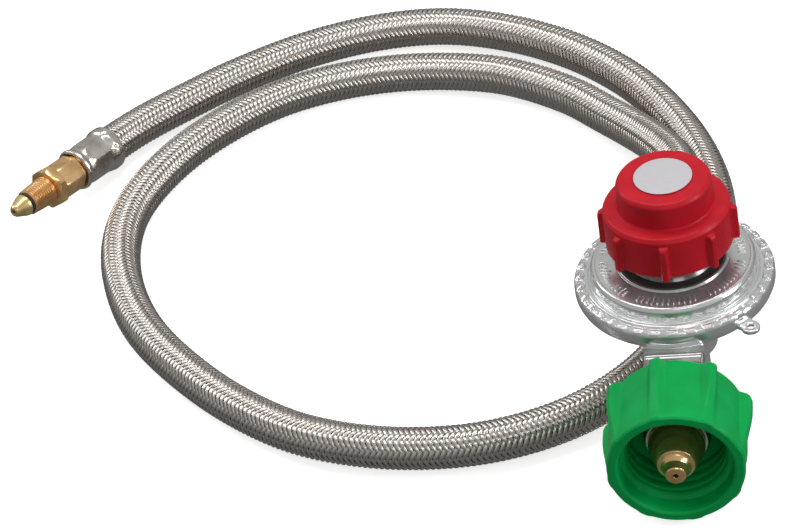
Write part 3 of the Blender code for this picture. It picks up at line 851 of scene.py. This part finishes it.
def make_cover_marks():
    """Plain raised ticks round the cover plate, like a scale without figures."""
    builder = bmesh.new()
    for index in range(84):
        if index % 14 in (12, 13):
            continue
        angle = 2 * math.pi * (index + 0.5) / 84
        long = index % 7 == 3
        low, high = (22.6, 27.0) if long else (23.7, 26.6)
        tick = boxed((low, -0.26, 57.2), (high, 0.26, 57.85), 0.14,
                     Matrix.Rotation(angle, 4, 'Z'))
        spare = bpy.data.meshes.new("spare")
        tick.to_mesh(spare)
        tick.free()
        builder.from_mesh(spare)
        bpy.data.meshes.remove(spare)
    mesh = bpy.data.meshes.new("cover_marks")
    builder.to_mesh(mesh)
    builder.free()
    mesh.transform(REGULATOR)
    mesh.shade_smooth()
    mesh.materials.append(MATERIALS["zinc"])
    marks = bpy.data.objects.new("cover_marks", mesh)
    bpy.context.collection.objects.link(marks)
    return marks


# --- The knob ----------------------------------------------------------------------


KNOB_RIBS = (8, -92.0, 24.5, 0.85, 1.25)


def make_knob():
    outline = fillet([
        (0, 93.9), (10.9, 93.95, 0.5), (16.0, 93.8, 1.8), (17.15, 92.3, 1.8),
        (17.5, 84.0, 0.3), (17.9, 83.3, 0.35), (21.9, 82.8, 1.1), (22.95, 81.4, 1.2),
        (23.1, 67.0, 0.4), (22.6, 66.4, 0.3),
        (21.0, 66.4, 0.2), (21.0, 80.6), (17.0, 80.6), (17.0, 68.4), (16.6, 68.0),
        (15.2, 68.0), (14.9, 68.4), (14.9, 91.5), (0, 91.5),
    ], 0.3, closed=False, parts=6)
    dense = []
    for (r0, h0), (r1, h1) in zip(outline, outline[1:]):
        dense.append((r0, h0))
        if r0 > 22.5 and h0 > 80 and h1 < 68:
            for share in (0.05, 0.075, 0.10, 0.12, 0.14, 0.17, 0.25, 0.45, 0.7, 0.9):
                dense.append((r0 + (r1 - r0) * share, h0 + (h1 - h0) * share))
    dense.append(outline[-1])

    def shape(angle, radius, height):
        rib = rib_height(angle, *KNOB_RIBS)
        side = smoothstep(radius, 22.4, 22.9)
        top = np.sqrt(np.clip(1 - ((height - 78.4) / 1.9).clip(0, 1) ** 2, 0, 1))
        low = 1 - smoothstep(height, 66.4, 68.5)
        radius = radius + 2.05 * rib * side * top
        height = height - 0.7 * rib * side * low
        return radius, height

    knob = lathe("dial_knob", dense, REGULATOR, "red_plastic", shape=shape, closed=False,
                 angles=rib_angles(*KNOB_RIBS, 7), sharp=50.0)
    return weighted(knob)


def make_label():
    outline = fillet([(0, 94.25), (10.4, 94.25), (10.5, 94.4), (10.3, 94.5), (0, 94.5)],
                     0.05, closed=False)
    return lathe("dial_label", outline, REGULATOR, "label", steps=96, closed=False)


# --- The inlet ---------------------------------------------------------------------


NUT_RIBS = (8, 12.5, 26.0, 1.1, 3.0)
ACME_PITCH = 4.233


def make_nut():
    """The coupling nut, with ribs that fade towards its mouth and an Acme thread."""
    outer = [(22.9, 47.3, 0.8), (23.9, 48.6, 1.2), (24.0, 51.0, 2.0), (24.1, 66.0),
             (24.35, 78.6, 0.8), (23.6, 79.5, 0.6), (21.2, 79.5, 0.5), (20.4, 78.8, 0.5),
             (20.1, 77.5), (19.8, 73.2, 0.3), (18.4, 72.5, 0.3), (17.9, 71.6, 0.3),
             (17.75, 57.2, 0.4), (16.8, 56.4, 0.3), (7.9, 56.4, 0.3), (7.9, 51.2, 0.3),
             (19.8, 51.2, 0.8), (20.2, 47.5, 0.6)]
    outline = fillet(outer, 0.4, parts=5)
    dense = []
    for (r0, h0), (r1, h1) in zip(outline, outline[1:] + outline[:1]):
        dense.append((r0, h0))
        length = abs(h1 - h0)
        if r0 > 23.5 and r1 > 23.5 and length > 2:
            parts = 8
        elif r0 < 18.5 and r1 < 18.5 and length > 8:
            parts = 42
        else:
            parts = 1
        for step in range(1, parts):
            t = step / parts
            dense.append((r0 + (r1 - r0) * t, h0 + (h1 - h0) * t))

    def shape(angle, radius, height):
        rib = rib_height(angle, *NUT_RIBS)
        outside = smoothstep(radius, 21.0, 23.6)
        crest = np.sqrt(np.clip(1 - ((51.2 - height) / 3.2).clip(0, 1) ** 2, 0, 1))
        rise = np.where(height < 60, crest, 1.0)
        fade = 3.45 - 3.05 * smoothstep(height, 56.0, 80.5)
        radius = radius + rib**1.4 * outside * rise * fade
        thread = smoothstep(height, 57.6, 59.0) * (1 - smoothstep(height, 70.0, 71.4))
        inside = (radius < 18.3) & (radius > 17.0)
        turnwise = (height / ACME_PITCH + angle / (2 * math.pi)) % 1.0
        acme = smoothstep(np.abs(turnwise - 0.5), 0.17, 0.30)
        radius = radius - np.where(inside, 0.55 * acme * thread, 0.0)
        return radius, height

    nut = lathe("grip_nut", dense, INLET, "green_plastic", shape=shape,
                angles=rib_angles(*NUT_RIBS, 8), sharp=55.0)
    return weighted(nut)


def make_nipple():
    outline = fillet([
        (3.4, 17.6), (6.8, 17.6), (6.8, 51.2), (7.4, 51.4), (7.4, 62.9), (8.6, 63.0),
        (8.6, 65.2), (10.15, 65.3, 0.4), (10.2, 67.0, 2.5), (8.9, 71.6, 6.0), (7.2, 75.9, 1.0),
        (6.7, 77.0, 0.5), (5.5, 77.5, 1.5), (4.3, 79.2, 2.0), (3.85, 81.0, 1.0),
        (3.75, 82.3, 0.5), (3.3, 82.7, 0.3), (0.95, 82.7, 0.25), (0.9, 79.0), (3.4, 77.0),
    ], 0.3, parts=5)
    return weighted(lathe("inlet_nose", outline, INLET, "nose_brass", steps=128))


def make_bushing():
    bushing = lathe("bushing_collar", fillet([
        (7.7, 56.8), (11.6, 56.8), (11.8, 57.4), (11.8, 62.2), (11.4, 62.7), (7.7, 62.7),
    ], 0.4), INLET, "black_plastic", steps=72)
    ring = lathe("nose_ring", fillet([
        (8.9, 63.0), (11.0, 63.0), (11.4, 63.4), (11.4, 64.6), (10.9, 64.9), (8.9, 64.9),
    ], 0.5, parts=5), INLET, "steel", steps=96)
    return bushing, ring


# --- The hose ends -----------------------------------------------------------------


def make_ferrule(name, matrix, length, turn):
    """A crimped sleeve: a bell over the braid, pressed flats, a waist and a rolled lip."""
    outline = fillet([
        (8.2, 0.15), (8.8, 0.0), (9.3, 0.7, 0.7), (9.5, 3.4, 2.5), (9.0, 6.0, 3.0),
        (8.7, 8.0, 3.0), (8.6, length - 6.4, 2.0), (7.9, length - 3.8, 1.2),
        (7.9, length - 3.0, 0.6), (8.6, length - 2.5, 0.7), (8.95, length - 1.5, 0.9),
        (8.7, length - 0.4, 0.6), (8.0, length - 0.1, 0.4), (7.3, length - 0.5),
        (6.0, length - 0.6), (6.0, length - 2.0), (6.9, length - 3.2), (6.9, 4.0),
        (8.2, 2.5),
    ], 0.4, parts=5)
    dense = []
    for (r0, h0), (r1, h1) in zip(outline, outline[1:] + outline[:1]):
        dense.append((r0, h0))
        parts = max(1, int(abs(h1 - h0) / 0.5)) if r0 > 7.3 and r1 > 7.3 else 1
        for step in range(1, parts):
            t = step / parts
            dense.append((r0 + (r1 - r0) * t, h0 + (h1 - h0) * t))

    def shape(angle, radius, height):
        pitch = math.pi / 4
        local = (angle - turn + pitch / 2) % pitch - pitch / 2
        outside = smoothstep(radius, 7.2, 7.5)
        pressed = smoothstep(height, 4.2, 6.6) * (1 - smoothstep(height, length - 6.4,
                                                                 length - 4.2))
        flat = 8.02 / np.cos(local)
        radius = radius - outside * pressed * np.maximum(radius - flat, 0) * 0.95
        corner = np.abs(np.abs(local) - pitch / 2) * 8.5
        dimple = np.exp(-(corner / 0.7) ** 2 - ((height - 3.9) / 0.75) ** 2)
        wave = 0.14 * np.sin(3 * angle + 1.0) * np.exp(-((height - 1.2) / 1.6) ** 2)
        radius = radius - outside * (0.62 * dimple - wave)
        return radius, height

    return lathe(name, dense, matrix, "steel", steps=192, shape=shape, sharp=45.0)


def make_outlet_end():
    ferrule = make_ferrule("outlet_sleeve", OUTLET_END, 19.4, 0.3)
    body = lathe_arrays(fillet([
        (2.4, 0.8), (3.6, 0.8), (4.3, 3.0), (3.7, 3.2), (3.7, 15.8), (5.4, 16.2),
        (5.4, 19.9), (7.0, 20.0), (7.0, 26.3), (6.8, 26.9), (6.6, 42.6), (6.0, 43.2),
        (2.6, 43.2), (2.6, 20.4), (2.4, 20.3),
    ], 0.2), steps=64)
    hexagon = hexagon_arrays(16.0, 19.8, 26.5, bore=5.0)
    nipple = put_together("outlet_stub", [body, hexagon], OUTLET_END, "brass", 30.0)
    return ferrule, nipple


def make_far_end():
    ferrule = make_ferrule("end_sleeve", FAR_END, 22.4, 0.15)
    stub = lathe_arrays(fillet([
        (2.4, 0.8), (3.6, 0.8), (4.3, 3.0), (3.7, 3.2), (3.7, 18.8), (5.4, 19.2),
        (5.4, 22.9), (6.2, 23.0), (6.2, 34.1), (4.7, 34.2), (4.6, 28.2), (2.4, 28.1),
    ], 0.2), steps=64)
    nut = hexagon_arrays(13.7, 22.75, 34.3, chamfer=0.6, turn=math.radians(10), bore=5.6)
    nipple = put_together("end_stub", [stub, nut], FAR_END, "brass", 30.0)

    pitch, start, end = 1.15, 40.0, 50.7
    outline = [(2.2, 28.9), (4.2, 28.9), (4.4, 34.7), (6.6, 34.8), (6.6, 39.1), (5.6, 39.3),
               (5.55, 39.7)]
    steps = int((end - start) / pitch * 10)
    for step in range(steps + 1):
        height = start + (end - start) * step / steps
        outline.append((6.05 - 0.065 * (height - start), height))
    outline += [(5.0, 51.0), (4.7, 51.2), (2.8, 51.2), (2.75, 45.7), (2.1, 45.6), (2.1, 35)]

    def shape(angle, radius, height):
        phase = (height / pitch - angle / (2 * math.pi)) % 1.0
        cut = 1 - np.abs(2 * phase - 1)
        live = smoothstep(height, start, start + 0.6) * (1 - smoothstep(height, end - 0.7, end))
        outside = radius > 5.1
        return radius - np.where(outside, 0.78 * cut * live, 0.0), height

    threaded = lathe_arrays(outline, steps=72, shape=shape)
    wide = hexagon_arrays(15.9, 34.6, 39.4, chamfer=1.1, turn=math.radians(35), bore=4.6)
    adapter = put_together("threaded_adapter", [threaded, wide], FAR_END, "brass", 32.0)

    ring = lathe("dark_ring", fillet([
        (2.95, 51.5), (4.5, 51.5), (4.75, 51.7), (4.75, 52.1), (4.5, 52.3), (2.95, 52.3),
    ], 0.25), FAR_END, "rubber", steps=64)
    tip = lathe("orifice_nose", fillet([
        (0.9, 46.2), (2.4, 46.2), (2.4, 52.55), (4.35, 52.55), (4.65, 52.9, 0.3),
        (4.45, 53.9, 0.8), (2.55, 58.6, 0.9), (1.9, 59.45, 0.7), (1.2, 59.6, 0.3),
        (0.75, 59.4, 0.2), (0.7, 56.0), (0.9, 55.5),
    ], 0.2, parts=5), FAR_END, "tip_brass", steps=64)
    return ferrule, nipple, adapter, ring, tip


# --- Hidden CAD parts --------------------------------------------------------------


def finish_hidden_parts():
    """Gives the parts inside the housing the finish of their material slot."""
    finishes = {
        "spring_button": "aluminium", "main_spring": "steel", "diaphragm": "rubber",
        "diaphragm_plate": "aluminium", "support_washer": "aluminium",
        "diaphragm_stem": "brass", "valve_lever": "steel", "lever_pin": "steel",
        "valve_plunger": "brass", "seat_disc": "rubber", "orifice_insert": "brass",
        "poppet_retainer": "brass", "poppet_spring": "steel", "excess_flow_poppet": "brass",
        "outlet_tube_end": "rubber", "far_tube_end": "rubber",
    }
    for node, finish in finishes.items():
        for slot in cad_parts[node].material_slots:
            slot.material = MATERIALS[finish]


# --- Putting it together -----------------------------------------------------------


make_camera()
core, bands, hose_path, hose_length = make_hose()
make_stage()

lip = stand_for(make_lip(), BODY)
casting = stand_for(make_casting(), BODY, "body_casting")
cover = stand_for(make_bonnet(), BODY, "bonnet")
marks = stand_for(make_cover_marks(), BODY)

knob = stand_for(make_knob(), "dial", "knob")
label = make_label()
stand_for(label, "dial", "knob_label")

nut = stand_for(make_nut(), "nut", "coupling_nut")
nose = stand_for(make_nipple(), BODY, "inlet_nipple")
collar, nose_ring = make_bushing()
stand_for(collar, BODY, "thermal_bushing")
stand_for(nose_ring, BODY, "bushing_ring")

outlet_sleeve, outlet_stub = make_outlet_end()
stand_for(outlet_sleeve, BODY, "outlet_ferrule")
stand_for(outlet_stub, BODY, "outlet_nipple")
end_sleeve, end_stub, adapter, dark_ring, tip = make_far_end()
stand_for(end_sleeve, BODY, "far_ferrule")
stand_for(end_stub, BODY, "far_nipple")
stand_for(adapter, BODY, "orifice_adapter")
stand_for(dark_ring, BODY, "tip_seal_ring")
stand_for(tip, BODY, "orifice_tip")
finish_hidden_parts()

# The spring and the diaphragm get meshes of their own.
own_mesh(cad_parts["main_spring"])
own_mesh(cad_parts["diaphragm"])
